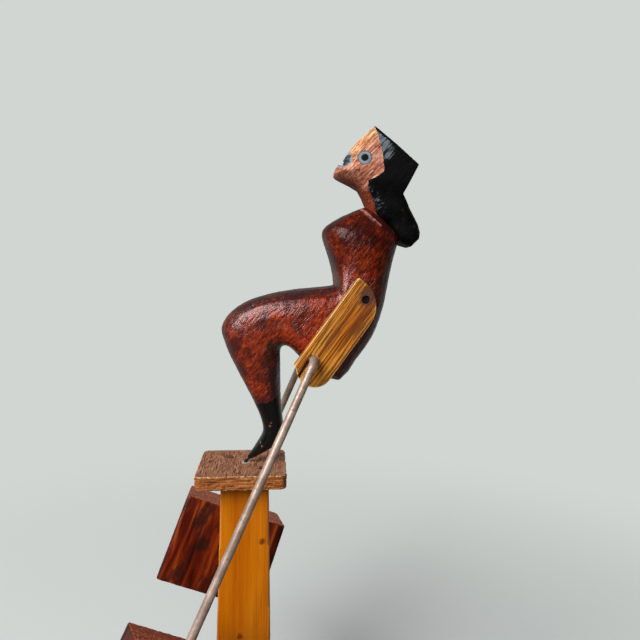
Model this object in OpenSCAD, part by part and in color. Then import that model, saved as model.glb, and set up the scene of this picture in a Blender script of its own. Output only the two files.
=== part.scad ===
// Balance figure: a carved wooden figure that stands on one toe on a post.
// Two weighted rods hang from the hips below the toe and keep the figure upright.
// Frame: origin at the middle of the base's underside, +Z up, the figure faces -X.

/* [Stand] */
// Height of the plate's top above the table
stand_h = 178; // [165:1:260]
// Side of the square base board
base_side = 89; // [70:1:130]
// Thickness of the base board
base_t = 19; // [12:1:30]
// Corner radius of the base board
base_corner_r = 4; // [1:0.5:10]
// Side of the post at its top
post_top = 19; // [17:0.5:22]
// Side of the post at its foot
post_foot = 25; // [22:0.5:32]
// Size of the top plate, front to back of the figure
plate_x = 35.5; // [32:0.5:40]
// Size of the top plate across the figure
plate_y = 32.5; // [30:0.5:38]
// Thickness of the top plate
plate_t = 5.6; // [4:0.1:8]
// How far the top plate's middle lies in front of the post's axis
plate_forward = 1.3; // [-3:0.1:3]
// Corner radius of the top plate
plate_corner_r = 2.5; // [0.5:0.5:5]

/* [Pivot] */
// Radius of the rounded point that carries the figure
ball_r = 0.8; // [0.6:0.05:1]
// Height of the ball's centre above the plate
pivot_rise = 0.6; // [0.5:0.05:0.9]
// Diameter of the metal cup under the toe
cup_d = 3.6; // [3.2:0.1:5]
// Thickness of the metal cup
cup_t = 1.2; // [1:0.1:2]
// Diameter of the pin inside the toe
toe_pin_d = 1.2; // [1:0.1:1.4]
// Length of the pin from the ball's centre
toe_pin_l = 11; // [8:0.5:14]

/* [Figure] */
// Half the thickness of the flat hips that the boards lie on
hip_half = 14.5; // [13:0.5:17]
// Half the thickness of the head, cheek to cheek
head_half = 11; // [9:0.5:13]
// Diameter of the dowel in the neck
dowel_d = 6; // [4:0.5:8]
// Length of the dowel
dowel_l = 22; // [16:1:26]

/* [Hip boards] */
// Thickness of a hip board
board_t = 5; // [3:0.5:7]
// Width of a hip board
board_w = 14.2; // [13:0.1:17]
// Slope of a hip board against the ground
board_slope = 54.5; // [50:0.5:60]
// How far the right board lies further up the slope than the left one
right_board_raise = 4.4; // [0:0.2:6]

/* [Rods and weights] */
// Diameter of the steel rods
rod_d = 3.2; // [2.8:0.1:3.4]
// Radius of the bend at the hip
rod_bend_r = 4; // [3:0.5:5]
// How far a rod's upper end reaches into the hip
rod_hip_depth = 7; // [4:0.5:10]
// How far a rod's lower end reaches into its weight
rod_weight_depth = 18; // [10:1:30]
// Size of a weight across the figure
weight_t = 37.4; // [34:0.1:44]
// Corner radius of a weight
weight_corner_r = 1.5; // [0.5:0.5:5]

/* [Left rod and weight] */
// Forward lean of the left rod
left_lean_angle = 25.1; // [18:0.1:30]
// Outward splay of the left rod
left_splay_angle = 14; // [11:0.1:20]
// Left rod, from the hip to the weight's top
left_drop = 105.5; // [90:0.1:115]
// Tilt of the left weight on its rod, positive with its foot outwards
left_tilt_angle = 7.2; // [-15:0.1:15]
// Turn of the left weight on its rod
left_twist_angle = -14.9; // [-20:0.1:20]
// Size of the left weight, front to back
left_weight_w = 43.8; // [36:0.1:56]
// Length of the left weight
left_weight_l = 52.8; // [36:0.1:56]
// How far the left weight's middle lies behind its rod
left_weight_back = 5.4; // [-12:0.1:12]

/* [Right rod and weight] */
// Forward lean of the right rod
right_lean_angle = 20; // [18:0.1:30]
// Outward splay of the right rod
right_splay_angle = 22; // [16:0.1:24]
// Right rod, from the hip to the weight's top
right_drop = 111.1; // [90:0.1:115]
// Tilt of the right weight on its rod, positive with its foot outwards
right_tilt_angle = -37.1; // [-42:0.1:15]
// Turn of the right weight on its rod
right_twist_angle = 0; // [-20:0.1:20]
// Size of the right weight, front to back
right_weight_w = 52.7; // [36:0.1:56]
// Length of the right weight
right_weight_l = 41.2; // [36:0.1:56]
// How far the right weight's middle lies behind its rod
right_weight_back = -1.5; // [-12:0.1:12]

/* [Fasteners] */
// Shank diameter of the nails
nail_d = 1.8; // [1.4:0.1:2.4]
// Head diameter of the nails
nail_head_d = 3; // [2.6:0.1:4]
// Shank diameter of the base screws
screw_d = 4; // [3:0.5:5]
// Length of the base screws
screw_l = 45; // [30:1:60]
// Distance between the two base screws
screw_gap = 12; // [10:0.5:14]

/* [Hidden] */
$fn = 48;

// Radial clearance of every pin in its hole
fit = 0.05;
// Extra reach of a cutting shape past the face that it cuts
reach = 1;

plate_bottom = stand_h - plate_t;
post_h = plate_bottom - base_t;
pivot = [0, 0, stand_h + pivot_rise];
seat_r = ball_r + fit;
cup_proud = 0.1;
toe_slope = 45;

nail_head_t = 0.7;
plate_nail_l = 24;
plate_nail_inset = 2.5;
plate_nail_spot = post_top / 2 - plate_nail_inset;
plate_nail_spots = [[-plate_nail_spot, plate_nail_spot], [plate_nail_spot, -plate_nail_spot]];
hip_nail_sink = 1;
hip_nail_grip = 11;
hip_nail_l = board_t - hip_nail_sink + hip_nail_grip;
screw_head_d = 8;
screw_head_t = 2.4;
slot_w = 1.1;
slot_depth = 1;

// Points of the figure in its middle plane, as [x, z] from the toe
board_foot = [18.7, 43.6];
rod_hole = [26, 46];
dowel_foot = [52.6, 90];
dowel_tilt = 8;

// Board outline, along the board and across it from its front edge
board_foot_r = board_w / 2;
board_shoulder = 29.5;
board_shoulder_in = 2.2;
board_tip = 41.3;
board_nail = [36.2, 7.2];

// Gap between a hip board and the start of its rod's bend
rod_stand_off = 1.3;
// The bend's extra radius, its extra turn at each end and how far the legs reach into it
bend_swell = 0.06;
bend_lead_angle = 3;
bend_lap = 0.4;

// One side's values, -1 for the left and 1 for the right
function of_side(side, left, right) = side < 0 ? left : right;
function lean(side) = of_side(side, left_lean_angle, right_lean_angle);
function splay(side) = of_side(side, left_splay_angle, right_splay_angle);
function drop(side) = of_side(side, left_drop, right_drop);
function hip_shift(side) = of_side(side, 0, right_board_raise) * [cos(board_slope), sin(board_slope)];
function bend_turn(side) = 90 - splay(side);
function bend_tangent(side) = rod_bend_r * tan(bend_turn(side) / 2);
// Where a rod's straight line meets the line of its hip hole, from the middle plane
function rod_reach(side) = hip_half + board_t + rod_stand_off + bend_tangent(side);

// Rows between two ribs, and points round each row
rib_steps = 2;
rib_sides = 24;

// Each rib is [front x, front z, back x, back z, width, squareness], from the toe upwards.
// The width is a share of the hips' thickness in the body and of the head's in the head.
body_ribs = [
    [0.4, 2.6, 1.8, 1.2, 0.075, 2.0],
    [2.0, 4.4, 4.6, 2.8, 0.18, 2.2],
    [4.6, 8.2, 9.6, 5.9, 0.33, 2.4],
    [6.4, 11.4, 14.0, 9.0, 0.4, 2.6],
    [7.1, 14.4, 15.4, 14.0, 0.415, 2.5],
    [6.2, 19.0, 15.0, 18.6, 0.44, 2.5],
    [3.5, 25.5, 14.2, 26.8, 0.54, 2.6],
    [-1.7, 35.5, 13.9, 36.0, 0.675, 2.6],
    [-6.7, 45.4, 13.8, 43.0, 0.785, 2.6],
    [-9.4, 52.4, 13.8, 47.0, 0.85, 2.6],
    [-10.0, 56.5, 14.2, 48.6, 0.875, 2.7],
    [-8.2, 60.8, 14.8, 49.2, 0.89, 2.7],
    [-3.6, 65.2, 15.6, 49.4, 0.905, 2.8],
    [3.0, 68.6, 16.8, 49.2, 0.925, 2.8],
    [13.2, 71.4, 19.0, 47.6, 0.98, 2.9],
    [24.6, 73.1, 22.8, 43.6, 1.035, 3.0],
    [33.0, 74.0, 29.6, 38.6, 1.06, 3.1],
    [36.2, 75.0, 37.6, 35.2, 1.075, 3.2],
    [35.9, 77.0, 44.4, 43.8, 1.06, 3.1],
    [35.3, 79.4, 50.6, 52.4, 1.035, 3.0],
    [34.5, 82.0, 54.4, 61.2, 0.995, 2.8],
    [33.4, 85.4, 56.5, 68.9, 0.94, 2.7],
    [31.6, 90.4, 57.9, 77.0, 0.94, 2.6],
    [30.3, 94.8, 59.5, 84.9, 0.98, 2.6],
    [31.6, 98.2, 60.7, 89.4, 0.95, 2.6],
    [38.0, 102.3, 61.7, 92.3, 0.815, 2.5],
    [46.8, 106.2, 61.6, 94.0, 0.62, 2.4]];

head_ribs = [
    [46.8, 106.2, 61.6, 94.0, 0.69, 2.4],
    [46.6, 107.6, 68.6, 91.2, 0.78, 2.6],
    [45.8, 109.4, 72.0, 95.4, 0.835, 2.8],
    [44.4, 112.0, 71.2, 99.6, 0.855, 2.8],
    [42.2, 114.8, 68.6, 104.4, 0.855, 2.8],
    [37.8, 117.2, 65.2, 109.6, 0.89, 2.9],
    [34.8, 119.2, 63.6, 112.2, 0.935, 3.0],
    [36.4, 121.7, 64.8, 114.9, 0.98, 3.1],
    [40.4, 122.7, 65.8, 116.8, 1.01, 3.2],
    [39.0, 124.8, 66.8, 118.8, 1.025, 3.3],
    [41.0, 127.6, 67.6, 120.8, 1.035, 3.4],
    [45.3, 132.2, 68.3, 122.4, 1.02, 3.4],
    [49.8, 137.3, 68.4, 123.2, 0.945, 3.4]];

// Smooth curve through four neighbouring ribs, t running from the second to the third
function between(a, b, c, d, t) =
    b + t / 2 * (c - a + t * (2 * a - 5 * b + 4 * c - d + t * (3 * b - a - 3 * c + d)));
function rib(ribs, i) = ribs[max(0, min(len(ribs) - 1, i))];
function smooth_ribs(ribs, steps) = [
    for (i = [0:len(ribs) - 2])
        for (k = [0:steps - 1])
            between(rib(ribs, i - 1), rib(ribs, i), rib(ribs, i + 1), rib(ribs, i + 2), k / steps),
    ribs[len(ribs) - 1]];

// Rounded-square outline round one rib, flattened at the given half thickness
function squared(value, power) = sign(value) * pow(abs(value), 2 / power);
function section(r, half) = [
    for (k = [0:rib_sides - 1])
        let (angle = 360 * (k + 0.5) / rib_sides)
        let (along = squared(cos(angle), r[5]), across = r[4] * squared(sin(angle), r[5]))
        [(r[0] + r[2]) / 2 + along * (r[0] - r[2]) / 2,
         half * max(-1, min(1, across)),
         (r[1] + r[3]) / 2 + along * (r[1] - r[3]) / 2]];

module carved(ribs, half) {
    rows = smooth_ribs(ribs, rib_steps);
    sides = rib_sides;
    last = (len(rows) - 1) * sides;
    points = [for (r = rows) each section(r, half)];
    walls = [
        for (i = [0:len(rows) - 2])
            for (k = [0:sides - 1])
                let (a = i * sides + k, b = i * sides + (k + 1) % sides)
                each [[a, b, b + sides], [a, b + sides, a + sides]]];
    caps = [[for (k = [sides - 1:-1:0]) k], [for (k = [0:sides - 1]) last + k]];
    polyhedron(points, concat(walls, caps), convexity = 8);
}

module rounded_bar(x, y, z, r) {
    linear_extrude(z) {
        square([x - 2 * r, y], center = true);
        square([x, y - 2 * r], center = true);
        for (i = [-1, 1])
            for (j = [-1, 1])
                translate([i * (x / 2 - r), j * (y / 2 - r)]) circle(r);
    }
}

// Moves what follows to a point of the figure's middle plane
module at_toe(spot = [0, 0]) {
    translate([spot[0], 0, stand_h + spot[1]]) children();
}

// Puts a child drawn for the right side, y positive, on the given side
module on_side(side) {
    mirror([0, side < 0 ? 1 : 0, 0]) children();
}

module nail(length, head_d = nail_head_d, head_t = nail_head_t, grow = 0) {
    translate([0, 0, -length]) cylinder(d = nail_d + 2 * grow, h = length);
    translate([0, 0, -head_t]) cylinder(d = head_d + 2 * grow, h = head_t + grow);
}

// Stand

module screw_shape(grow) {
    cylinder(d = screw_d + 2 * grow, h = screw_l + grow);
    cylinder(d1 = screw_head_d + 2 * grow, d2 = screw_d + 2 * grow, h = screw_head_t);
}

// Puts a child at each base screw's place
module at_screws() {
    for (side = [-1, 1])
        translate([side * screw_gap / 2, 0, 0]) children();
}

module base_board() {
    color("#5a3018")
    difference() {
        rounded_bar(base_side, base_side, base_t, base_corner_r);
        at_screws() screw_shape(fit);
    }
}

module base_screws() {
    color("#b9b4a8")
    at_screws()
        difference() {
            screw_shape(0);
            cube([screw_head_d + reach, slot_w, 2 * slot_depth], center = true);
        }
}

module post() {
    color("#c47a1e")
    difference() {
        translate([0, 0, base_t])
            linear_extrude(post_h, scale = post_top / post_foot) square(post_foot, center = true);
        at_screws() screw_shape(fit);
        for (spot = plate_nail_spots)
            translate([spot[0], spot[1], stand_h]) nail(plate_nail_l, grow = fit);
    }
}

module top_plate() {
    color("#7a4a26")
    difference() {
        translate([-plate_forward, 0, plate_bottom])
            rounded_bar(plate_x, plate_y, plate_t, plate_corner_r);
        translate([0, 0, stand_h + cup_proud - cup_t - fit])
            cylinder(d = cup_d + 2 * fit, h = cup_t + reach);
        for (spot = plate_nail_spots)
            translate([spot[0], spot[1], stand_h]) nail(plate_nail_l, grow = fit);
    }
}

module plate_nails() {
    color("#3c3733")
    for (spot = plate_nail_spots)
        translate([spot[0], spot[1], stand_h]) nail(plate_nail_l);
}

module pivot_cup() {
    color("#c9c5bd")
    difference() {
        translate([0, 0, stand_h + cup_proud - cup_t]) cylinder(d = cup_d, h = cup_t);
        translate(pivot) sphere(seat_r);
    }
}

// Balancing figure

module pivot_ball() {
    color("#2b2725") translate(pivot) sphere(ball_r);
}

module toe_pin_shape(grow, extra) {
    translate(pivot) rotate([0, toe_slope, 0]) cylinder(d = toe_pin_d + 2 * grow, h = toe_pin_l + extra);
}

module toe_pin() {
    color("#8f8a83")
    difference() {
        toe_pin_shape(0, 0);
        translate(pivot) sphere(seat_r);
    }
}

module dowel_shape(grow) {
    at_toe(dowel_foot)
        rotate([0, dowel_tilt, 0])
            translate([0, 0, -grow]) cylinder(d = dowel_d + 2 * grow, h = dowel_l + 2 * grow);
}

module hip_nail_shape(side, grow) {
    board_frame(side) translate([board_nail[0], board_nail[1], board_t - hip_nail_sink])
        nail(hip_nail_l, grow = grow);
}

module figure_body() {
    color("#8a3a17")
    difference() {
        at_toe() carved(body_ribs, hip_half);
        toe_pin_shape(fit, fit);
        dowel_shape(fit);
        for (side = [-1, 1]) {
            hip_nail_shape(side, fit);
            hip_hole(side);
        }
    }
}

module neck_dowel() {
    color("#d8b383") dowel_shape(0);
}

module head() {
    color("#c98552")
    difference() {
        at_toe() carved(head_ribs, head_half);
        dowel_shape(fit);
    }
}

// Frame of a side's board: x along it, y across it from its front edge, z outwards from the hip
module board_frame(side) {
    on_side(side)
        at_toe(board_foot + hip_shift(side))
            translate([0, hip_half, 0])
                rotate([0, -board_slope, 0])
                    rotate([-90, 0, 0]) children();
}

module board_outline() {
    foot_x = board_foot_r / 2;
    translate([foot_x, board_foot_r]) circle(board_foot_r);
    polygon([[0, 0], [foot_x, 0], [foot_x, board_foot_r], [-foot_x, board_foot_r]]);
    translate([foot_x, 0]) square([board_shoulder - foot_x, board_w]);
    intersection() {
        translate([board_shoulder, board_shoulder_in]) circle(board_w - board_shoulder_in);
        translate([board_shoulder, 0]) square([board_tip - board_shoulder, board_w]);
    }
}

module hip_hole(side) {
    on_side(side)
        at_toe(rod_hole + hip_shift(side))
            translate([0, hip_half - rod_hip_depth, 0])
                rotate([-90, 0, 0]) cylinder(d = rod_d + 2 * fit, h = rod_hip_depth + board_t + reach);
}

module hip_board(side) {
    color("#c98a35")
    difference() {
        board_frame(side) linear_extrude(board_t) board_outline();
        hip_hole(side);
        hip_nail_shape(side, fit);
        board_frame(side) translate([board_nail[0], board_nail[1], board_t - hip_nail_sink])
            cylinder(d = nail_head_d + 2 * fit, h = hip_nail_sink + reach);
    }
}

module hip_nail(side) {
    color("#3c3733") hip_nail_shape(side, 0);
}

// Frame of a side's rod: at the origin the lines of its two legs meet
module rod_frame(side) {
    on_side(side)
        at_toe(rod_hole + hip_shift(side))
            translate([0, rod_reach(side), 0])
                rotate([0, lean(side), 0]) children();
}

// The bend is a little thicker than the legs, and their ends reach into it
module rod(side) {
    leg_start = bend_tangent(side) - bend_lap;
    color("#8d7b6d")
    rod_frame(side) {
        rotate([90, 0, 0])
            translate([0, 0, leg_start])
                cylinder(d = rod_d, h = rod_reach(side) - hip_half + rod_hip_depth - leg_start);
        translate([0, -bend_tangent(side), -rod_bend_r])
            rotate([90, 0, 90])
                rotate([0, 0, splay(side) - bend_lead_angle])
                    rotate_extrude(angle = bend_turn(side) + 2 * bend_lead_angle)
                        translate([rod_bend_r, 0]) circle(d = rod_d + 2 * bend_swell);
        rotate([splay(side), 0, 0])
            translate([0, 0, -drop(side) - rod_weight_depth])
                cylinder(d = rod_d, h = drop(side) + rod_weight_depth - leg_start);
    }
}

// The hole follows the rod, and the block sits on it tilted and turned
module weight(side) {
    tilt = of_side(side, left_tilt_angle, right_tilt_angle);
    twist = of_side(side, left_twist_angle, right_twist_angle);
    width = of_side(side, left_weight_w, right_weight_w);
    length = of_side(side, left_weight_l, right_weight_l);
    back = of_side(side, left_weight_back, right_weight_back);
    color("#5c2410")
    rod_frame(side)
        rotate([splay(side), 0, 0])
            translate([0, 0, -drop(side)])
                difference() {
                    rotate([tilt, 0, 0])
                        rotate([0, 0, twist])
                            translate([back, 0, -length])
                                rounded_bar(width, weight_t, length, weight_corner_r);
                    translate([0, 0, -rod_weight_depth - fit])
                        cylinder(d = rod_d + 2 * fit, h = rod_weight_depth + rod_d);
                }
}

module left_hip_board() { hip_board(-1); }
module right_hip_board() { hip_board(1); }
module left_hip_nail() { hip_nail(-1); }
module right_hip_nail() { hip_nail(1); }
module left_rod() { rod(-1); }
module right_rod() { rod(1); }
module left_weight() { weight(-1); }
module right_weight() { weight(1); }

base_board();
base_screws();
post();
top_plate();
plate_nails();
pivot_cup();
pivot_ball();
toe_pin();
figure_body();
neck_dowel();
head();
left_hip_board();
right_hip_board();
left_hip_nail();
right_hip_nail();
left_rod();
right_rod();
left_weight();
right_weight();
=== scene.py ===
"""Looks of the balance figure: carved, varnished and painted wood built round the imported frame."""
import math

import bpy
import numpy as np
from mathutils import Matrix, Vector, noise


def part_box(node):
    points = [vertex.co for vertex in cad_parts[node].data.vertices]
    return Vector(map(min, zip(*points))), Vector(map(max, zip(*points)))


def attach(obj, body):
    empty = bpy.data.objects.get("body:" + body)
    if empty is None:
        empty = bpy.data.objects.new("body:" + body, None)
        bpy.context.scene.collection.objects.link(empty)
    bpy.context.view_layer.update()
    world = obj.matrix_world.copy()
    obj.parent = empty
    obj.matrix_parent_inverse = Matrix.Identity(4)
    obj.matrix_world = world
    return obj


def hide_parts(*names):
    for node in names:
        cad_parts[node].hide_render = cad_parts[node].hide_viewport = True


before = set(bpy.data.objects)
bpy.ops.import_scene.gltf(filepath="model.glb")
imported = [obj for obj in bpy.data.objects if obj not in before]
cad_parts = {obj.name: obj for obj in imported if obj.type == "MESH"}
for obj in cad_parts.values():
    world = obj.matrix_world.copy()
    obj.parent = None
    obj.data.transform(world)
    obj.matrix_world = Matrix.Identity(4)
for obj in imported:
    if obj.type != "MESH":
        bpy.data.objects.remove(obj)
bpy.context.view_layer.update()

MM = 0.001
EDGE_VALUE_ROUNDS = 12
STAND_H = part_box("top_plate")[1].z

# Camera fitted to the photograph: place, aim and roll, and its focal length in pixels of a 640 px frame
CAMERA_PLACE = Vector((0.009213, -0.210230, STAND_H + 0.073843))
CAMERA_YAW = math.radians(5.6650)
CAMERA_PITCH = math.radians(3.8131)
CAMERA_ROLL = math.radians(0.9834)
FOCAL_PIXELS = 509.675
FRAME_PIXELS = 640
SENSOR_MM = 36.0

# The hip boards' slope, which the carver's strokes on the figure follow
BOARD_SLOPE = math.radians(54.5)
GRAIN = Vector((math.cos(BOARD_SLOPE), 0, math.sin(BOARD_SLOPE)))
CROSS_GRAIN = Vector((-math.sin(BOARD_SLOPE), 0, math.cos(BOARD_SLOPE)))
FACE_SLOPE = math.radians(45)
FACE_GRAIN = Vector((math.cos(FACE_SLOPE), 0, math.sin(FACE_SLOPE)))
FACE_CROSS = Vector((-math.sin(FACE_SLOPE), 0, math.cos(FACE_SLOPE)))
X_AXIS = Vector((1, 0, 0))
Y_AXIS = Vector((0, 1, 0))
Z_AXIS = Vector((0, 0, 1))

# The head's outline as [x, z] in millimetres from the toe: the back from crown to neck, then the face upwards
HEAD_BACK = [(48.9, 136.2), (57.9, 129.6), (66.9, 122.2), (63.9, 116.2), (61.3, 111.0), (64.2, 107.2),
             (66.8, 103.0), (68.9, 99.6), (70.0, 96.4), (69.6, 93.8), (66.6, 90.8), (63.2, 91.8),
             (60.8, 93.4), (58.4, 96.2), (55.9, 98.8)]
HEAD_FRONT = [(49.5, 100.5), (48.1, 106.8), (46.5, 110.4), (44.7, 113.3), (42.1, 114.8), (39.0, 116.2),
              (36.8, 117.2), (35.4, 118.0), (34.6, 119.0), (34.9, 120.3), (35.5, 122.0), (36.2, 122.6),
              (37.6, 122.3), (38.7, 122.8), (39.5, 123.6), (38.6, 124.4), (39.6, 125.1), (38.8, 125.9),
              (39.5, 126.7), (42.4, 130.4), (48.9, 136.2)]
LIPS = HEAD_FRONT[11:17]
FOREHEAD = HEAD_FRONT[17:]

# Half widths in millimetres: the face's front edge at the heights given, and the pared neck, nape and tail
EDGE_HEIGHTS = (120.0, 125.0, 135.0)
EDGE_HALF_W = (1.4, 2.6, 10.0)
CHEEK_DEPTH = 8.0
NECK_HALF_W = 7.2
NAPE_HALF_W = 9.2
TAIL_HALF_W = 7.6
NAPE_HEIGHTS = (117.0, 108.0)
TAIL_HEIGHTS = (106.0, 98.0)
ROUNDED_HEIGHTS = (112.0, 104.0)
ROUNDED_W = 4.0

# Painted marks on the figure, as [x, z] in millimetres from the toe
HAIRLINE = [(48.3, 136.8), (49.9, 134.5), (50.8, 132.4), (52.2, 126.2), (53.0, 121.8), (53.2, 119.6),
            (52.1, 118.1), (49.8, 116.7), (47.4, 115.6), (47.2, 114.3), (47.4, 112.6), (48.5, 110.7),
            (49.6, 108.6), (50.5, 105.5), (51.1, 103.2), (53.2, 100.7), (55.8, 98.7), (58.1, 96.0),
            (59.8, 93.5), (60.4, 86.0)]
BEHIND_HAIR = [(95.0, 86.0), (95.0, 150.0), (46.0, 150.0)]
CROWN_EDGE = HEAD_BACK[:3]
# A painted reflection on the hair near the crown's front, and painted glints along the hair at the neck
SHEEN = [(50.6, 133.6), (52.6, 130.0), (53.6, 126.4)]
SHEEN_W = 5.0
GLINTS = [(48.9, 112.4), (50.0, 109.6), (51.3, 107.2), (52.8, 105.0)]
EYE = (45.5, 124.1)
EYE_R = 2.75
PUPIL_R = 1.4
LIPS_W = 1.5
JAW = [(30.0, 118.2), (35.1, 117.3), (37.5, 116.8), (40.0, 116.3), (42.5, 115.2), (44.5, 113.6),
       (46.9, 112.2), (75.0, 112.0)]
BELOW_JAW = [(75.0, 80.0), (30.0, 80.0)]
# The collar ridge, along which a pale painted highlight runs
COLLAR = [(45.5, 104.6), (47.4, 102.5), (49.9, 99.9), (52.2, 98.0)]
BOOT_TOP = [(-8.0, 25.0), (4.2, 26.1), (7.3, 26.8), (10.5, 27.6), (11.3, 28.8), (13.5, 29.4), (22.0, 29.8)]
BELOW_BOOT = [(22.0, -8.0), (-8.0, -8.0)]
BOOT_CHIPS = [(9.8, 16.9), (10.2, 18.1), (6.3, 9.5), (6.7, 8.2)]
SPLIT = [(25.2, 47.2), (22.3, 42.5), (19.0, 37.0)]
SPLIT_W = 0.8
SPLIT_DEPTH = 1.3
BOARD_SCAR = {"left": (46.6, 71.0), "right": (49.15, 74.6)}
SCAR_STRETCH = 0.6
POST_KNOTS = [(7.2, -29.3), (-1.4, -68.5)]
PLATE_MARKS = [(-14.5, 1.5), (-7.6, 8.2)]
CHEST_HEIGHTS = (72.0, 86.0)
SCUFF_HEIGHTS = (112.0, 102.0)

# A distance in millimetres that no painted mark reaches
FAR_OFF = 20

# Studio, in metres and watts: backdrop, how the floor fades into it, what gloss shows of it, and the lamps
FLOOR_R = 1.5
SWEEP_R = 1.2
SWEEP_STEPS = 24
WALL_TOP = 4.0
WALL_COLOUR = (209, 214, 210)
FLOOR_COLOUR = (0.70, 0.73, 0.71)
FLOOR_BOUNCE = (0.16, 0.15, 0.14)
FADE_START = 0.18
FADE_END = 0.6
MIRRORED = (-0.2, 0.8)
MIRROR_SHARE = 0.3
STUDIO_MIDDLE = Vector((0.02, 0, 0.24))
WINDOW_OFFSET = Vector((-0.84, -0.89, 0.87))
WINDOW_SIZE = 0.95
WINDOW_POWER = 27
FILLS = (("fill", Vector((-0.3, -1.35, 0.55)), 2), ("back_fill", Vector((0.25, 1.35, 0.6)), 9))
FILL_SIZE = 1.2
WORLD_COLOUR = (0.95, 0.98, 1.0, 1)
WORLD_STRENGTH = 0.13


def srgb(red, green, blue):
    """Linear colour of an 8-bit screen colour."""
    def linear(value):
        value /= 255
        return value / 12.92 if value <= 0.04045 else ((value + 0.055) / 1.055) ** 2.4
    return linear(red), linear(green), linear(blue)


# Mesh work

def mesh_arrays(mesh):
    """Points, normals and edges of a mesh as arrays, in metres."""
    points = np.empty(len(mesh.vertices) * 3)
    normals = np.empty(len(mesh.vertices) * 3)
    edges = np.empty(len(mesh.edges) * 2, int)
    mesh.vertices.foreach_get("co", points)
    mesh.vertices.foreach_get("normal", normals)
    mesh.edges.foreach_get("vertices", edges)
    return points.reshape(-1, 3), normals.reshape(-1, 3), edges.reshape(-1, 2)


def set_points(mesh, points):
    mesh.vertices.foreach_set("co", points.ravel())
    mesh.update()


def set_values(mesh, **values):
    """Stores a number for each point under each name, for the paint to read."""
    for name, numbers in values.items():
        mesh.attributes.new(name, "FLOAT", "POINT").data.foreach_set("value", numbers)


def relaxed(points, edges, rounds, step=0.5):
    """Points moved towards their neighbours' middle, which rounds edges and melts facets."""
    total = len(points)
    ends = np.concatenate((edges[:, 0], edges[:, 1]))
    others = np.concatenate((edges[:, 1], edges[:, 0]))
    count = np.maximum(np.bincount(ends, minlength=total), 1)[:, None]
    for _ in range(rounds):
        sums = np.stack([np.bincount(ends, points[others, i], total) for i in range(3)], 1)
        points = points + step * (sums / count - points)
    return points


def perlin(points):
    """Smooth noise from about -1 to 1 at points given in units of its cell."""
    return np.array([noise.noise(p) for p in points.tolist()])


def grain_noise(points, along, across, sizes, seed=0.0):
    """Noise stretched along a grain; sizes are its cells along, across and through the grain, in metres."""
    axes = np.array([along / sizes[0], across / sizes[1], along.cross(across) / sizes[2]])
    return perlin(points @ axes.T + seed)


def smoothstep(low, high, value):
    t = np.clip((value - low) / (high - low), 0, 1)
    return t * t * (3 - 2 * t)


def blended(a, b, amount):
    return a + (b - a) * amount


def spot_distance(spots, marks):
    """Distance of each flat spot from the nearest of the marks."""
    return np.min([np.hypot(*(spots - mark).T) for mark in marks], axis=0)


def line_distance(spots, line):
    """Distance of each flat spot from a line of points."""
    best = np.full(len(spots), np.inf)
    for a, b in zip(np.array(line[:-1]), np.array(line[1:])):
        run = b - a
        t = np.clip((spots - a) @ run / (run @ run), 0, 1)[:, None]
        best = np.minimum(best, np.linalg.norm(spots - a - t * run, axis=1))
    return best


def inside(spots, corners):
    """Whether each flat spot lies within the loop of corners."""
    x, y = spots.T
    result = np.zeros(len(spots), bool)
    for (ax, ay), (bx, by) in zip(corners, corners[1:] + corners[:1]):
        crosses = (ay > y) != (by > y)
        result ^= crosses & (x < (bx - ax) * (y - ay) / (by - ay + 1e-12) + ax)
    return result


def depth_in(spots, line, rest):
    """Distance from a line of points, positive on the side that the rest of the loop closes."""
    return np.where(inside(spots, line + rest), 1, -1) * line_distance(spots, line)


def from_toe(points):
    """Points in millimetres from the toe."""
    return (points - np.array((0, 0, STAND_H))) / MM


def fine_piece(node, voxel, rounds, mesh=None):
    """A finely divided copy of a CAD node, or of a mesh built for it, with its edges relaxed.

    The value stored at each point is how far it moves, in millimetres, if it is relaxed further; the paints
    use it for worn arrises, and the hip boards for a pale painted highlight along their edges.
    """
    piece = bpy.data.objects.new("fine_" + node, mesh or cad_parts[node].data.copy())
    bpy.context.scene.collection.objects.link(piece)
    fine = piece.modifiers.new("fine", "REMESH")
    fine.mode = "VOXEL"
    fine.voxel_size = voxel
    mesh = bpy.data.meshes.new_from_object(piece.evaluated_get(bpy.context.evaluated_depsgraph_get()))
    piece.modifiers.clear()
    piece.data = mesh
    points, _, edges = mesh_arrays(mesh)
    soft = relaxed(points, edges, rounds)
    set_points(mesh, soft)
    set_values(mesh, wear=np.linalg.norm(relaxed(soft, edges, EDGE_VALUE_ROUNDS) - points, axis=1) / MM)
    mesh.shade_smooth()
    return piece


def prism(name, outline, half_w):
    """A mesh of an outline in [x, z] millimetres from the toe, drawn out each way by half_w metres."""
    total = len(outline)
    points = [(x * MM, y, STAND_H + z * MM) for y in (-half_w, half_w) for x, z in outline]
    walls = [(k, (k + 1) % total, total + (k + 1) % total, total + k) for k in range(total)]
    mesh = bpy.data.meshes.new(name)
    mesh.from_pydata(points, [], [list(range(total))[::-1], list(range(total, 2 * total)), *walls])
    return mesh


def displace(mesh, amount):
    """Moves each point along its normal by the amount, in millimetres."""
    points, normals, _ = mesh_arrays(mesh)
    set_points(mesh, points + normals * amount[:, None] * MM)


def dress(piece, node, body, material):
    """Puts a finished piece in the place of a CAD node."""
    piece.data.materials.clear()
    piece.data.materials.append(material)
    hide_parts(node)
    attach(piece, body)


# Paint

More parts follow.
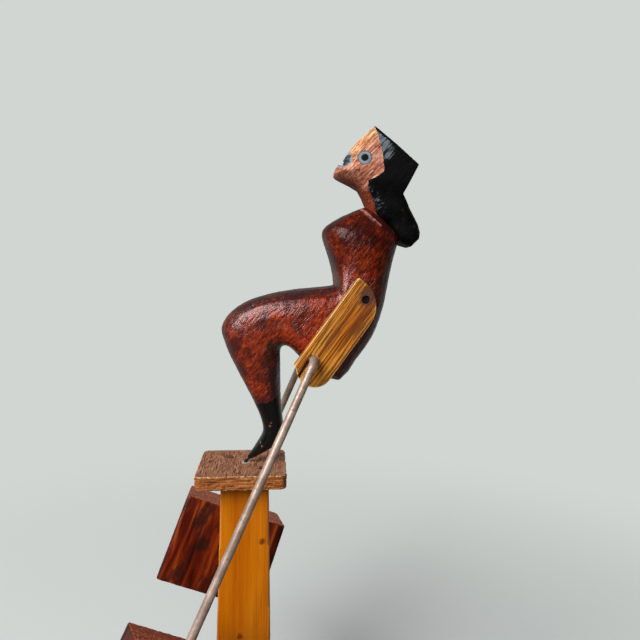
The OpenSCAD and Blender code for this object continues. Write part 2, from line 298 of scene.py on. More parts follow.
class Paint:
    """A material's node tree, with short calls for the nodes that the finishes here use."""

    def __init__(self, name):
        self.material = bpy.data.materials.new(name)
        self.material.use_nodes = True
        self.nodes = self.material.node_tree.nodes
        self.links = self.material.node_tree.links
        self.shader = self.nodes["Principled BSDF"]
        self.place = self.add("TexCoord").outputs["Object"]

    def put(self, socket, value):
        if isinstance(value, bpy.types.NodeSocket):
            self.links.new(value, socket)
        elif isinstance(value, tuple) and socket.type == "RGBA":
            socket.default_value = (*value[:3], 1)
        else:
            socket.default_value = value

    def add(self, kind, inputs=None, **settings):
        node = self.nodes.new("ShaderNode" + kind)
        for name, value in settings.items():
            setattr(node, name, value)
        for name, value in (inputs or {}).items():
            self.put(node.inputs[name], value)
        return node

    def math(self, operation, a, b=0.0):
        return self.add("Math", {0: a, 1: b}, operation=operation).outputs[0]

    def plus(self, a, b, share=1.0):
        """a plus a share of b."""
        return self.add("Math", {0: b, 1: share, 2: a}, operation="MULTIPLY_ADD").outputs[0]

    def times(self, a, b):
        return self.math("MULTIPLY", a, b)

    def step(self, value, low, high, start=0.0, end=1.0):
        inputs = {0: value, 1: low, 2: high, 3: start, 4: end}
        return self.add("MapRange", inputs, interpolation_type="SMOOTHSTEP").outputs[0]

    def mix(self, amount, a, b, blend="MIX"):
        return self.add("Mix", {0: amount, 6: a, 7: b}, data_type="RGBA", blend_type=blend).outputs[2]

    def value(self, name):
        return self.add("Attribute", attribute_name=name).outputs["Fac"]

    def noise(self, place, scale=1.0, detail=2.0, rough=0.5, distort=0.0):
        inputs = {"Vector": place, "Scale": scale, "Detail": detail, "Roughness": rough,
                  "Distortion": distort}
        return self.add("TexNoise", inputs).outputs["Fac"]

    def grain(self, along, across, sizes):
        """Place along a grain, across it and through it, in cells of the given sizes in millimetres."""
        cells = [size * MM for size in sizes]
        axes = (along / cells[0], across / cells[1], along.cross(across) / cells[2])
        dots = [self.add("VectorMath", {0: self.place, 1: tuple(axis)}, operation="DOT_PRODUCT")
                for axis in axes]
        return self.add("CombineXYZ", {i: dot.outputs["Value"] for i, dot in enumerate(dots)}).outputs[0]

    def ramp(self, amount, stops):
        node = self.add("ValToRGB", {0: amount})
        marks = node.color_ramp.elements
        while len(marks) < len(stops):
            marks.new(1.0)
        for mark, (place, colour) in zip(marks, stops):
            mark.position = place
            mark.color = (*srgb(*colour), 1)
        return node.outputs["Color"]

    def bump(self, height, depth):
        """Surface normal of a height from 0 to 1 that is the depth in millimetres tall."""
        return self.add("Bump", {"Strength": 1.0, "Distance": depth * MM, "Height": height}).outputs["Normal"]

    def finish(self, **sockets):
        names = {"colour": "Base Color", "rough": "Roughness", "normal": "Normal", "metal": "Metallic",
                 "specular": "Specular IOR Level", "tint": "Specular Tint"}
        for name, value in sockets.items():
            self.put(self.shader.inputs[names[name]], value)
        return self.material


def red_varnish():
    """Orange-red varnish on carved wood, dull on the chest, with painted shade on top, behind, in front and
    high on the chest, a pale painted highlight at the collar; chipped boots.
    """
    p = Paint("red_varnish")
    stroke = p.noise(p.grain(GRAIN, CROSS_GRAIN, (2.4, 0.9, 1.6)), detail=3, rough=0.62)
    fleck = p.noise(p.grain(GRAIN, CROSS_GRAIN, (1.0, 0.5, 0.7)), detail=2, rough=0.6)
    gouge = p.step(p.noise(p.grain(GRAIN, CROSS_GRAIN, (9, 0.9, 4)), detail=2), 0.62, 0.68)
    cloud = p.noise(p.place, 85, detail=3, rough=0.62)
    wood = p.ramp(stroke, [(0.3, (74, 8, 0)), (0.44, (130, 28, 0)), (0.57, (168, 54, 2)),
                           (0.72, (208, 90, 12))])
    wood = p.mix(p.step(cloud, 0.42, 0.6, 0.0, 0.9), wood, srgb(68, 8, 4))
    wood = p.mix(p.step(fleck, 0.54, 0.66, 0.0, 0.6), wood, srgb(48, 8, 3))
    wood = p.mix(p.times(gouge, 0.85), wood, srgb(30, 7, 4))
    # Painted shade by the body's dark value: on top, behind, in front and high on the chest
    wood = p.mix(p.times(p.value("dark"), p.step(stroke, 0.36, 0.6, 0.95, 0.7)), wood, srgb(42, 11, 9))
    wobble = p.math("SUBTRACT", p.noise(p.place, 700, detail=3), 0.5)
    # A pale painted highlight along the collar ridge
    collar = p.step(p.plus(p.value("collar"), wobble, 1.4), 0.1, 0.7, 0.6, 0.0)
    wood = p.mix(collar, wood, srgb(206, 150, 140))
    boot = p.step(p.plus(p.value("boot"), wobble, 2.2), -0.08, 0.08)
    worn = p.plus(p.value("chip"), wobble, 1.6)
    black = p.mix(p.step(worn, 0.3, 0.5, 1.0, 0.0), srgb(11, 11, 10), srgb(128, 84, 60))
    colour = p.mix(boot, wood, black)
    carved = p.bump(p.plus(p.plus(stroke, fleck, 0.5), gouge, -0.3), 0.24)
    smooth = p.bump(p.noise(p.place, 420, detail=3), 0.1)
    normal = p.add("Mix", {0: boot, 4: carved, 5: smooth}, data_type="VECTOR").outputs[1]
    rough = p.plus(p.step(fleck, 0.3, 0.7, 0.23, 0.38), boot, -0.09)
    gloss = p.times(p.step(boot, 0.0, 1.0, 1.0, 0.45), p.step(p.value("chest"), 0.0, 1.0, 1.0, 0.4))
    tint = p.mix(boot, (1.0, 0.74, 0.72), (1.0, 1.0, 1.0))
    return p.finish(colour=colour, rough=rough, normal=normal, specular=gloss, tint=tint)


def bare_face(p, line, fleck):
    """Salmon wood that turns orange towards the forehead, lighter there as a painted highlight, and red-brown
    on jaw and neck.
    """
    cheek = p.ramp(line, [(0.36, (104, 42, 26)), (0.45, (190, 110, 82)), (0.54, (224, 158, 130)),
                          (0.66, (248, 202, 178))])
    brow = p.ramp(line, [(0.36, (130, 58, 28)), (0.45, (212, 134, 82)), (0.54, (244, 188, 132)),
                         (0.66, (255, 224, 180))])
    neck = p.ramp(line, [(0.3, (78, 26, 14)), (0.5, (138, 60, 38)), (0.7, (184, 100, 70))])
    # Lighter orange wood near the forehead's edge; the lightness is a painted highlight
    wood = p.mix(p.step(p.value("brow"), 0.8, 5.5, 1.0, 0.0), cheek, brow)
    wood = p.mix(p.step(p.value("jaw"), -4.0, -1.0, 0.0, 0.4), wood, srgb(196, 108, 84))
    wood = p.mix(p.step(p.value("jaw"), -0.8, 0.8), wood, neck)
    return p.mix(p.step(fleck, 0.54, 0.64, 0.0, 0.75), wood, srgb(88, 36, 22))


def black_hair(p):
    """Black paint with a grey painted sheen near the crown's front and painted glints at the neck, both
    painted reflections, and brown scuffs.
    """
    brush = p.noise(p.grain(FACE_GRAIN, FACE_CROSS, (4.5, 0.5, 2.0)), detail=3, rough=0.65)
    # Grey painted sheen near the crown's front, a painted reflection broken by brush strokes
    broken = p.plus(brush, p.value("sheen"), 0.2)
    sheen = p.times(p.step(p.value("sheen"), 0.05, 0.4), p.step(broken, 0.56, 0.72, 0.0, 0.85))
    black = p.mix(sheen, srgb(4, 4, 6), srgb(132, 142, 152))
    # Painted glints along the hair at the neck
    glint = p.step(p.value("glint"), 0.5, 2.4, 1.0, 0.0)
    stroke = p.noise(p.grain(FACE_GRAIN, FACE_CROSS, (2.4, 0.45, 1.2)), detail=2)
    glint = p.times(glint, p.step(stroke, 0.54, 0.66))
    black = p.mix(p.times(glint, 0.75), black, srgb(132, 144, 152))
    scuff = p.times(p.value("tail"), p.step(p.noise(p.place, 330, detail=4, rough=0.6), 0.56, 0.7))
    return p.mix(p.times(scuff, 0.45), black, srgb(60, 46, 30)), brush


def face_wood():
    """Bare wood on face and neck, with black hair, ringed eyes and grey paint in the mouth."""
    p = Paint("face_wood")
    line = p.noise(p.grain(FACE_GRAIN, FACE_CROSS, (7, 0.5, 1.6)), detail=3, rough=0.7)
    fleck = p.noise(p.grain(FACE_GRAIN, FACE_CROSS, (1.5, 0.26, 0.5)), detail=2)
    wobble = p.math("SUBTRACT", p.noise(p.place, 900, detail=3), 0.5)
    colour = bare_face(p, line, fleck)
    eye = p.plus(p.value("eye"), wobble, 0.8)
    grey = p.mix(p.noise(p.place, 1500, detail=2), srgb(104, 118, 128), srgb(158, 172, 182))
    colour = p.mix(p.step(eye, EYE_R - 0.2, EYE_R + 0.15, 1.0, 0.0), colour, srgb(84, 76, 76))
    colour = p.mix(p.step(eye, EYE_R - 0.5, EYE_R - 0.2, 1.0, 0.0), colour, grey)
    pupil = p.plus(p.value("eye"), wobble, 0.3)
    colour = p.mix(p.step(pupil, PUPIL_R - 0.15, PUPIL_R + 0.15, 1.0, 0.0), colour, srgb(6, 6, 9))
    lips = p.plus(p.value("lips"), wobble, 0.8)
    smear = p.mix(p.step(p.noise(p.place, 1500, detail=3), 0.44, 0.6), srgb(52, 58, 68), srgb(124, 130, 142))
    colour = p.mix(p.step(lips, LIPS_W - 0.15, LIPS_W + 0.15, 1.0, 0.0), colour, srgb(158, 162, 170))
    colour = p.mix(p.step(lips, LIPS_W - 0.7, LIPS_W - 0.4, 1.0, 0.0), colour, smear)
    hair = p.step(p.plus(p.value("hair"), wobble, 1.3), -0.08, 0.1)
    black, brush = black_hair(p)
    colour = p.mix(hair, colour, black)
    height = p.plus(p.times(line, 0.7), fleck, 0.3)
    height = p.plus(height, p.times(hair, brush), 0.4)
    rough = p.plus(p.step(fleck, 0.3, 0.7, 0.5, 0.62), p.times(hair, brush), 0.1)
    return p.finish(colour=colour, rough=rough, normal=p.bump(height, 0.2),
                    specular=p.step(hair, 0.0, 1.0, 0.1, 0.14))


def yellow_wood():
    """Golden varnished board with brown growth lines, a red-brown scar at its nail, painted shade in its
    split and a pale painted highlight along its edges.
    """
    p = Paint("yellow_wood")
    line = p.noise(p.grain(GRAIN, CROSS_GRAIN, (48, 0.56, 1.6)), detail=3, rough=0.6)
    broad = p.noise(p.grain(GRAIN, CROSS_GRAIN, (50, 2.2, 4.0)), detail=2)
    pore = p.noise(p.grain(GRAIN, CROSS_GRAIN, (11, 0.26, 0.6)), detail=2)
    colour = p.ramp(broad, [(0.34, (192, 106, 22)), (0.5, (224, 142, 42)), (0.66, (246, 184, 82))])
    colour = p.mix(p.step(line, 0.5, 0.55, 0.0, 0.85), colour, srgb(112, 50, 2))
    colour = p.mix(p.step(pore, 0.54, 0.6, 0.0, 0.75), colour, srgb(96, 42, 4))
    scar = p.plus(p.value("scar"), p.noise(p.place, 500, detail=3), 2.0)
    colour = p.mix(p.step(scar, 3.2, 4.7, 0.9, 0.0), colour, srgb(88, 52, 40))
    # Painted shade inside the split
    colour = p.mix(p.step(p.value("split"), 0.1, 0.8, 0.0, 0.85), colour, srgb(52, 25, 8))
    # A pale painted highlight along the board's edges, kept clear of the nail's scar
    painted_edge_highlight = p.times(p.step(p.value("wear"), 0.05, 0.18, 0.0, 0.8), p.step(p.value("scar"), 4.0, 6.0))
    colour = p.mix(painted_edge_highlight, colour, srgb(255, 222, 152))
    height = p.plus(p.times(line, 0.6), p.step(pore, 0.55, 0.7), -0.5)
    rough = p.step(pore, 0.4, 0.7, 0.34, 0.55)
    return p.finish(colour=colour, rough=rough, normal=p.bump(height, 0.2), specular=0.3)


def pine():
    """Orange varnished pine with upright grain, small knots and pale worn arrises."""
    p = Paint("pine")
    line = p.noise(p.grain(Z_AXIS, X_AXIS, (150, 2.6, 5)), detail=3, rough=0.5, distort=0.3)
    fibre = p.noise(p.grain(Z_AXIS, X_AXIS, (16, 0.45, 0.45)), detail=3)
    broad = p.noise(p.grain(Z_AXIS, X_AXIS, (60, 9, 9)), detail=2)
    tone = p.plus(p.times(line, 0.5), broad, 0.5)
    colour = p.ramp(tone, [(0.34, (192, 98, 1)), (0.5, (208, 114, 5)), (0.66, (222, 132, 14))])
    colour = p.mix(p.step(fibre, 0.52, 0.68, 0.0, 0.3), colour, srgb(150, 66, 0))
    knot = p.plus(p.value("knot"), p.noise(p.place, 600, detail=2), 1.2)
    colour = p.mix(p.step(knot, 1.2, 2.4, 0.85, 0.0), colour, srgb(104, 44, 6))
    colour = p.mix(p.step(p.value("wear"), 0.25, 0.6, 0.0, 0.6), colour, srgb(244, 200, 150))
    height = p.plus(p.times(line, 0.4), fibre, 0.3)
    rough = p.step(fibre, 0.35, 0.65, 0.28, 0.42)
    return p.finish(colour=colour, rough=rough, normal=p.bump(height, 0.12), specular=0.22)


def plate_wood():
    """Brown open-pored board with rough layered edges and pale chipped arrises."""
    p = Paint("plate_wood")
    pore = p.noise(p.grain(Y_AXIS, X_AXIS, (3.6, 0.28, 0.8)), detail=3, rough=0.65)
    cloud = p.noise(p.place, 160, detail=3)
    top = p.ramp(pore, [(0.34, (196, 142, 110)), (0.5, (164, 110, 80)), (0.6, (124, 76, 52)),
                        (0.7, (66, 38, 28))])
    top = p.mix(p.step(cloud, 0.4, 0.65, 0.0, 0.4), top, srgb(128, 80, 56))
    layer = p.noise(p.grain(X_AXIS, Z_AXIS, (7, 0.45, 7)), detail=4, rough=0.65)
    side = p.ramp(layer, [(0.32, (84, 38, 12)), (0.46, (156, 86, 34)), (0.58, (198, 124, 66)),
                          (0.72, (228, 168, 110))])
    colour = p.mix(p.step(p.value("rim"), 0.3, 0.7), top, side)
    chip = p.noise(p.place, 1100, detail=3, rough=0.65)
    pale = p.times(p.step(p.value("wear"), 0.08, 0.22), p.step(chip, 0.46, 0.54))
    colour = p.mix(p.times(pale, 0.9), colour, srgb(240, 202, 160))
    colour = p.mix(p.step(p.value("mark"), 0.6, 1.9, 0.7, 0.0), colour, srgb(64, 40, 30))
    height = p.plus(p.times(p.step(pore, 0.52, 0.7), -0.6), layer, 0.4)
    rough = p.step(cloud, 0.3, 0.7, 0.55, 0.75)
    return p.finish(colour=colour, rough=rough, normal=p.bump(height, 0.3), specular=0.25)


def dark_varnish(name, along, across):
    """Dark mahogany block with blotches and orange streaks along it, rough brown end grain on top."""
    p = Paint(name)
    streak = p.noise(p.grain(along, across, (30, 4, 6)), detail=3, rough=0.55, distort=0.5)
    blotch = p.noise(p.grain(along, across, (15, 7, 7)), detail=4, rough=0.58)
    side = p.ramp(streak, [(0.32, (40, 7, 1)), (0.47, (88, 21, 3)), (0.59, (124, 40, 6)),
                           (0.72, (176, 84, 20))])
    side = p.mix(p.step(blotch, 0.5, 0.6, 0.0, 0.75), side, srgb(34, 8, 3))
    grit = p.noise(p.place, 1000, detail=4, rough=0.68)
    end = p.ramp(grit, [(0.36, (84, 26, 8)), (0.48, (156, 66, 32)), (0.58, (186, 98, 60)),
                        (0.66, (240, 186, 140))])
    end = p.mix(p.step(p.noise(p.place, 130, detail=3), 0.4, 0.62, 0.0, 0.6), end, srgb(132, 66, 46))
    colour = p.mix(p.value("end"), side, end)
    edge = p.times(p.step(p.value("wear"), 0.2, 0.5), p.step(grit, 0.42, 0.56))
    colour = p.mix(p.times(edge, 0.6), colour, srgb(196, 116, 78))
    height = p.plus(p.times(streak, 0.4), p.times(grit, p.value("end")), 1.2)
    rough = p.plus(p.step(blotch, 0.3, 0.7, 0.26, 0.4), p.value("end"), 0.28)
    return p.finish(colour=colour, rough=rough, normal=p.bump(height, 0.2), specular=0.3)


def brown_wood():
    """Stained base board with grain along it and rubbed edges."""
    p = Paint("brown_wood")
    line = p.noise(p.grain(X_AXIS, Y_AXIS, (70, 2.6, 4)), detail=4, rough=0.55, distort=0.4)
    pore = p.noise(p.grain(X_AXIS, Y_AXIS, (7, 0.35, 0.8)), detail=2)
    colour = p.ramp(line, [(0.3, (58, 27, 14)), (0.5, (96, 50, 26)), (0.7, (128, 72, 38))])
    colour = p.mix(p.step(pore, 0.56, 0.7, 0.0, 0.6), colour, srgb(38, 17, 9))
    colour = p.mix(p.step(p.value("wear"), 0.15, 0.6, 0.0, 0.5), colour, srgb(166, 108, 68))
    height = p.plus(p.times(line, 0.5), p.step(pore, 0.55, 0.7), -0.5)
    return p.finish(colour=colour, rough=p.step(line, 0.3, 0.7, 0.4, 0.58), normal=p.bump(height, 0.25))


def steel(name, light, dark, rust, metal, rough):
    """Dull drawn steel with fine pits, handling marks and a little rust; colours as screen values."""
    p = Paint(name)
    cloud = p.noise(p.place, 190, detail=4, rough=0.6)
    pit = p.noise(p.place, 2600, detail=3, rough=0.6)
    colour = p.mix(p.step(cloud, 0.35, 0.65), srgb(*light), srgb(*dark))
    stain = p.noise(p.place, 420, detail=5, rough=0.65)
    colour = p.mix(p.step(stain, 0.58, 0.72, 0.0, 0.7), colour, srgb(*rust))
    return p.finish(colour=colour, metal=metal, rough=p.step(pit, 0.3, 0.7, rough - 0.08, rough + 0.12),
                    normal=p.bump(pit, 0.025))


def bare_wood():
    """Pale unfinished dowel wood."""
    p = Paint("bare_wood")
    line = p.noise(p.grain(Z_AXIS, X_AXIS, (20, 0.5, 0.5)), detail=3)
    colour = p.ramp(line, [(0.35, (178, 134, 88)), (0.65, (218, 184, 138))])
    return p.finish(colour=colour, rough=0.6, normal=p.bump(line, 0.15))


# Pieces

def make_body():
    piece = fine_piece("figure_body", 0.3 * MM, 6)
    points, normals, _ = mesh_arrays(piece.data)
    spots = from_toe(points)[:, [0, 2]]
    boot = depth_in(spots, BOOT_TOP, BELOW_BOOT)
    bare = smoothstep(1.5, -0.5, boot)
    strokes = grain_noise(points, GRAIN, CROSS_GRAIN, (3.4 * MM, 1.3 * MM, 2.4 * MM)) * bare
    facets = perlin(points / (6 * MM) + 7.3)
    clear_of_tip = smoothstep(1.0, 9.0, spots[:, 1])
    # The collar ridge, and the distance from it that places a pale painted highlight
    collar = line_distance(spots, COLLAR)
    ridge = 0.35 * smoothstep(1.0, 0.2, collar)
    carving = 0.09 * strokes + 0.10 * facets + 0.10 * smoothstep(-0.3, 0.3, boot)
    displace(piece.data, carving * clear_of_tip + ridge)
    # Painted shade: darker on faces turned up, back and forward, and over the upper chest and shoulders
    above = smoothstep(0.35, 0.85, normals[:, 2])
    behind = 0.95 * smoothstep(-0.1, 0.5, normals[:, 0])
    before = 0.6 * smoothstep(0.45, 0.9, -normals[:, 0])
    # Height of the upper chest and shoulders, for painted shade there and for duller varnish
    chest = smoothstep(*CHEST_HEIGHTS, spots[:, 1])
    dark = np.maximum.reduce([above, behind, before, 0.65 * chest])
    set_values(piece.data, boot=boot, chip=spot_distance(spots, BOOT_CHIPS), dark=dark * bare,
               chest=chest, collar=collar)
    dress(piece, "figure_body", "figure", red_varnish())


def head_half_width(spots, full, hair, jaw):
    """Half the head's width at each flat spot, in millimetres, pared at the chin, the neck and the tail."""
    height = spots[:, 1]
    edge = np.interp(height, EDGE_HEIGHTS, EDGE_HALF_W)
    depth = np.clip(line_distance(spots, HEAD_FRONT) / CHEEK_DEPTH, 0, 1)
    width = blended(edge, full, np.sqrt(1 - (1 - depth) ** 2))
    in_hair = smoothstep(-0.4, 0.4, hair)
    neck = smoothstep(-0.8, 0.8, jaw) * (1 - in_hair)
    width = blended(width, np.minimum(width, NECK_HALF_W), neck)
    nape = blended(full, NAPE_HALF_W, smoothstep(*NAPE_HEIGHTS, height))
    nape = blended(nape, TAIL_HALF_W, smoothstep(*TAIL_HEIGHTS, height))
    border = np.clip(line_distance(spots, HEAD_BACK[4:]) / ROUNDED_W, 0, 1)
    round_border = np.sqrt(1 - (1 - border) ** 2)
    nape *= blended(1.0, 0.5 + 0.5 * round_border, smoothstep(*ROUNDED_HEIGHTS, height))
    return blended(width, np.maximum(nape, np.minimum(width, nape)), in_hair)


def make_head():
    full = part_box("head")[1].y
    outline = HEAD_BACK + HEAD_FRONT[:-1]
    piece = fine_piece("head", 0.25 * MM, 2, prism("head_outline", outline, full))
    points, _, edges = mesh_arrays(piece.data)
    spots = from_toe(points)[:, [0, 2]]
    hair = depth_in(spots, HAIRLINE, BEHIND_HAIR)
    jaw = depth_in(spots, JAW, BELOW_JAW)
    points[:, 1] *= head_half_width(spots, full / MM, hair, jaw) * MM / full
    set_points(piece.data, relaxed(points, edges, 2))
    in_hair = smoothstep(-0.2, 0.35, hair)
    tail = in_hair * smoothstep(*SCUFF_HEIGHTS, spots[:, 1])
    lines = grain_noise(points, FACE_GRAIN, FACE_CROSS, (4 * MM, 0.8 * MM, 2 * MM), 3.1)
    lumps = perlin(points / (3.6 * MM) + 11.7)
    displace(piece.data, 0.2 * in_hair + 0.05 * lines + lumps * (0.05 + 0.16 * tail))
    # Painted reflections on the hair: the grey sheen on its sides below the crown, and glints along GLINTS
    on_side = np.abs(points[:, 1]) > 0.6 * full
    below_crown = smoothstep(0.5, 1.3, line_distance(spots, CROWN_EDGE))
    sheen = smoothstep(SHEEN_W, 0.2, line_distance(spots, SHEEN)) * below_crown * on_side
    set_values(piece.data, hair=hair, jaw=jaw, sheen=sheen, tail=tail, brow=line_distance(spots, FOREHEAD),
               eye=np.hypot(*(spots - EYE).T) + FAR_OFF * ~on_side, lips=line_distance(spots, LIPS),
               glint=line_distance(spots, GLINTS))
    dress(piece, "head", "figure", face_wood())


def make_boards():
    wood = yellow_wood()
    for side, sign in (("left", -1), ("right", 1)):
        node = side + "_hip_board"
        piece = fine_piece(node, 0.25 * MM, 2)
        points, normals, _ = mesh_arrays(piece.data)
        spots = from_toe(points)[:, [0, 2]]
        outer = smoothstep(0.5, 0.8, normals[:, 1] * sign)
        ribs = grain_noise(points, GRAIN, CROSS_GRAIN, (30 * MM, 1.2 * MM, 6 * MM), 5.0 * sign)
        split = smoothstep(SPLIT_W, SPLIT_W * 0.4, line_distance(spots, SPLIT)) * (side == "left")
        displace(piece.data, 0.06 * ribs)
        points, _, _ = mesh_arrays(piece.data)
        points[:, 1] -= sign * SPLIT_DEPTH * MM * split * outer
        set_points(piece.data, points)
        offset = spots - BOARD_SCAR[side]
        along, across = offset @ np.array(GRAIN.xz), offset @ np.array(CROSS_GRAIN.xz)
        set_values(piece.data, split=split, scar=np.hypot(SCAR_STRETCH * along, across))
        dress(piece, node, "figure", wood)


def make_plate():
    piece = fine_piece("top_plate", 0.24 * MM, 5)
    points, normals, _ = mesh_arrays(piece.data)
    toe = from_toe(points)
    rim = smoothstep(0.8, 0.5, np.abs(normals[:, 2]))
    layers = grain_noise(points, X_AXIS, Z_AXIS, (5 * MM, 0.7 * MM, 5 * MM), 2.0)
    pits = perlin(points / (1.1 * MM) + 4.0)
    waves = grain_noise(points, Y_AXIS, X_AXIS, (9 * MM, 0.8 * MM, 2 * MM), 8.0)
    displace(piece.data, rim * (0.26 * layers + 0.24 * pits) + (1 - rim) * 0.04 * waves)
    set_values(piece.data, rim=rim, mark=spot_distance(toe[:, :2], PLATE_MARKS) + pits * 0.6)
    dress(piece, "top_plate", "stand", plate_wood())


def make_post():
    piece = fine_piece("post", 0.5 * MM, 4)
    points, normals, _ = mesh_arrays(piece.data)
    spots = from_toe(points)[:, [0, 2]]
    displace(piece.data, 0.07 * grain_noise(points, Z_AXIS, X_AXIS, (60 * MM, 5 * MM, 5 * MM), 1.0))
    set_values(piece.data, knot=spot_distance(spots, POST_KNOTS) + FAR_OFF * (normals[:, 1] > -0.5))
    dress(piece, "post", "stand", pine())


def make_base():
    piece = fine_piece("base_board", 0.8 * MM, 6)
    points, _, _ = mesh_arrays(piece.data)
    displace(piece.data, 0.08 * grain_noise(points, X_AXIS, Y_AXIS, (40 * MM, 4 * MM, 6 * MM), 6.0))
    dress(piece, "base_board", "stand", brown_wood())


def node_points(node):
    return np.array([v.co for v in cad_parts[node].data.vertices])


def block_axis(side):
    """Upward direction of a weight's own length: the normal of its large face towards its rod."""
    rod = node_points(side + "_rod").mean(0) - node_points(side + "_weight").mean(0)
    rod = Vector(rod).normalized()
    faces = [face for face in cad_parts[side + "_weight"].data.polygons if face.normal.dot(rod) > 0.7]
    return max(faces, key=lambda face: face.area).normal.copy()


def make_weights():
    for side in ("left", "right"):
        node = side + "_weight"
        along = block_axis(side)
        across = along.cross(Y_AXIS).normalized()
        piece = fine_piece(node, 0.45 * MM, 3)
        points, normals, _ = mesh_arrays(piece.data)
        end = smoothstep(0.75, 0.92, np.abs(normals @ np.array(along)))
        waves = grain_noise(points, along, across, (24 * MM, 6 * MM, 6 * MM), 9.0)
        grit = perlin(points / (1.4 * MM) + 2.5)
        displace(piece.data, 0.14 * waves + 0.12 * grit * end)
        set_values(piece.data, end=end)
        dress(piece, node, "figure", dark_varnish(side + "_dark_varnish", along, across))


def make_rods():
    metal = steel("grey_steel", (204, 180, 164), (168, 144, 128), (120, 92, 74), 0.35, 0.42)
    for side in ("left", "right"):
        node = side + "_rod"
        piece = fine_piece(node, 0.22 * MM, 8)
        points, _, _ = mesh_arrays(piece.data)
        displace(piece.data, 0.05 * perlin(points / (7 * MM)) + 0.015 * perlin(points / (1.2 * MM)))
        dress(piece, node, "figure", metal)


def paint_small_parts():
    bright = steel("bright_steel", (196, 192, 184), (150, 146, 138), (120, 96, 76), 0.75, 0.34)
    dark = steel("dark_steel", (58, 50, 46), (34, 29, 27), (74, 44, 30), 0.6, 0.45)
    black = steel("black_steel", (16, 14, 14), (10, 9, 9), (40, 26, 18), 0.1, 0.3)
    rusty = steel("rusty_steel", (112, 72, 50), (84, 52, 36), (66, 38, 24), 0.3, 0.6)
    worn = steel("worn_steel", (206, 186, 166), (168, 142, 120), (110, 80, 58), 0.3, 0.45)
    pale = bare_wood()
    finish = {"base_screws": bright, "pivot_cup": worn, "toe_pin": black, "plate_nails": rusty,
              "pivot_ball": black, "left_hip_nail": dark, "right_hip_nail": dark, "neck_dowel": pale}
    for node, material in finish.items():
        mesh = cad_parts[node].data
        mesh.materials.clear()
        mesh.materials.append(material)


# Studio

def make_camera():
    right = Vector((math.cos(CAMERA_YAW), -math.sin(CAMERA_YAW), 0))
    aim = Vector((math.sin(CAMERA_YAW) * math.cos(CAMERA_PITCH),
                  math.cos(CAMERA_YAW) * math.cos(CAMERA_PITCH), -math.sin(CAMERA_PITCH)))
    up = right.cross(aim)
    side = right * math.cos(CAMERA_ROLL) + up * math.sin(CAMERA_ROLL)
    top = up * math.cos(CAMERA_ROLL) - right * math.sin(CAMERA_ROLL)
    lens = bpy.data.cameras.new("camera")
    lens.sensor_width = SENSOR_MM
    lens.lens = SENSOR_MM * FOCAL_PIXELS / FRAME_PIXELS
    lens.clip_start = 0.01
    camera = bpy.data.objects.new("camera", lens)
    camera.matrix_world = Matrix((side, top, -aim)).transposed().to_4x4()
    camera.location = CAMERA_PLACE
    bpy.context.scene.collection.objects.link(camera)
    bpy.context.scene.camera = camera


def lathe(name, profile, steps=96):
    """A surface of revolution about the Z axis through profile points (radius, height)."""
    points = [(r * math.cos(2 * math.pi * k / steps), r * math.sin(2 * math.pi * k / steps), z)
              for r, z in profile for k in range(steps)]
    faces = [(i * steps + k, i * steps + (k + 1) % steps,
              (i + 1) * steps + (k + 1) % steps, (i + 1) * steps + k)
             for i in range(len(profile) - 1) for k in range(steps)]
    mesh = bpy.data.meshes.new(name)
    mesh.from_pydata(points, [], faces)
    mesh.shade_smooth()
    piece = bpy.data.objects.new(name, mesh)
    bpy.context.scene.collection.objects.link(piece)
    return piece


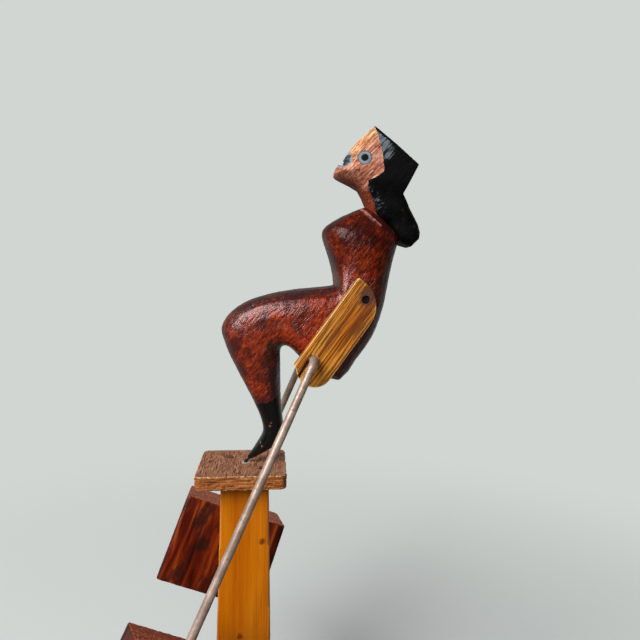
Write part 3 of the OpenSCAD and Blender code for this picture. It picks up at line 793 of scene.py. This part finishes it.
def backdrop(name, floor):
    """Pale background of one even tone; the floor's middle is a matt surface that keeps the object's shadow.

    Gloss shows the part of it that lies behind the object, dimmed, and a dark room in front.
    """
    p = Paint(name)
    rays = p.add("LightPath").outputs
    behind = p.step(p.add("SeparateXYZ", {0: p.place}).outputs["Y"], *MIRRORED, 0.0, MIRROR_SHARE)
    seen = p.math("MAXIMUM", rays["Is Camera Ray"], p.times(rays["Is Glossy Ray"], behind))
    seen = p.math("MAXIMUM", seen, rays["Is Transmission Ray"])
    p.finish(colour=p.mix(seen, FLOOR_BOUNCE, FLOOR_COLOUR), rough=0.9, specular=0.1)
    glow = p.add("Emission", {"Color": srgb(*WALL_COLOUR), "Strength": 1.0}).outputs[0]
    radius = p.add("VectorMath", {0: p.place}, operation="LENGTH").outputs["Value"]
    even = p.times(seen, p.step(radius, FADE_START, FADE_END)) if floor else seen
    both = p.add("MixShader", {0: even, 1: p.shader.outputs[0], 2: glow}).outputs[0]
    p.links.new(both, p.nodes["Material Output"].inputs["Surface"])
    return p.material


def make_stage():
    floor = lathe("floor", [(0.0, 0.0), (FADE_START, 0.0), (FADE_END, 0.0), (FLOOR_R, 0.0)])
    floor.data.materials.append(backdrop("pale_floor", True))
    turns = np.linspace(0, math.pi / 2, SWEEP_STEPS)
    sweep = [(FLOOR_R + SWEEP_R * math.sin(a), SWEEP_R * (1 - math.cos(a))) for a in turns]
    wall = lathe("wall", sweep + [(FLOOR_R + SWEEP_R, WALL_TOP)])
    wall.data.materials.append(backdrop("pale_wall", False))
    wall.visible_shadow = False
    wall.visible_diffuse = False


def make_light(name, offset, size, power):
    """A square lamp at an offset from the studio's middle, aimed at it."""
    lamp = bpy.data.lights.new(name, "AREA")
    lamp.shape = "SQUARE"
    lamp.size = size
    lamp.energy = power
    light = bpy.data.objects.new(name, lamp)
    light.location = STUDIO_MIDDLE + offset
    light.rotation_euler = (-offset).to_track_quat("-Z", "Y").to_euler()
    bpy.context.scene.collection.objects.link(light)
    return light


def make_studio():
    make_light("window", WINDOW_OFFSET, WINDOW_SIZE, WINDOW_POWER)
    for name, offset, power in FILLS:
        make_light(name, offset, FILL_SIZE, power).visible_glossy = False
    world = bpy.data.worlds.new("studio")
    world.use_nodes = True
    world.node_tree.nodes["Background"].inputs["Color"].default_value = WORLD_COLOUR
    world.node_tree.nodes["Background"].inputs["Strength"].default_value = WORLD_STRENGTH
    bpy.context.scene.world = world
    bpy.context.scene.view_settings.view_transform = "Standard"


make_camera()
make_stage()
make_studio()
make_body()
make_head()
make_boards()
make_plate()
make_post()
make_base()
make_weights()
make_rods()
paint_small_parts()
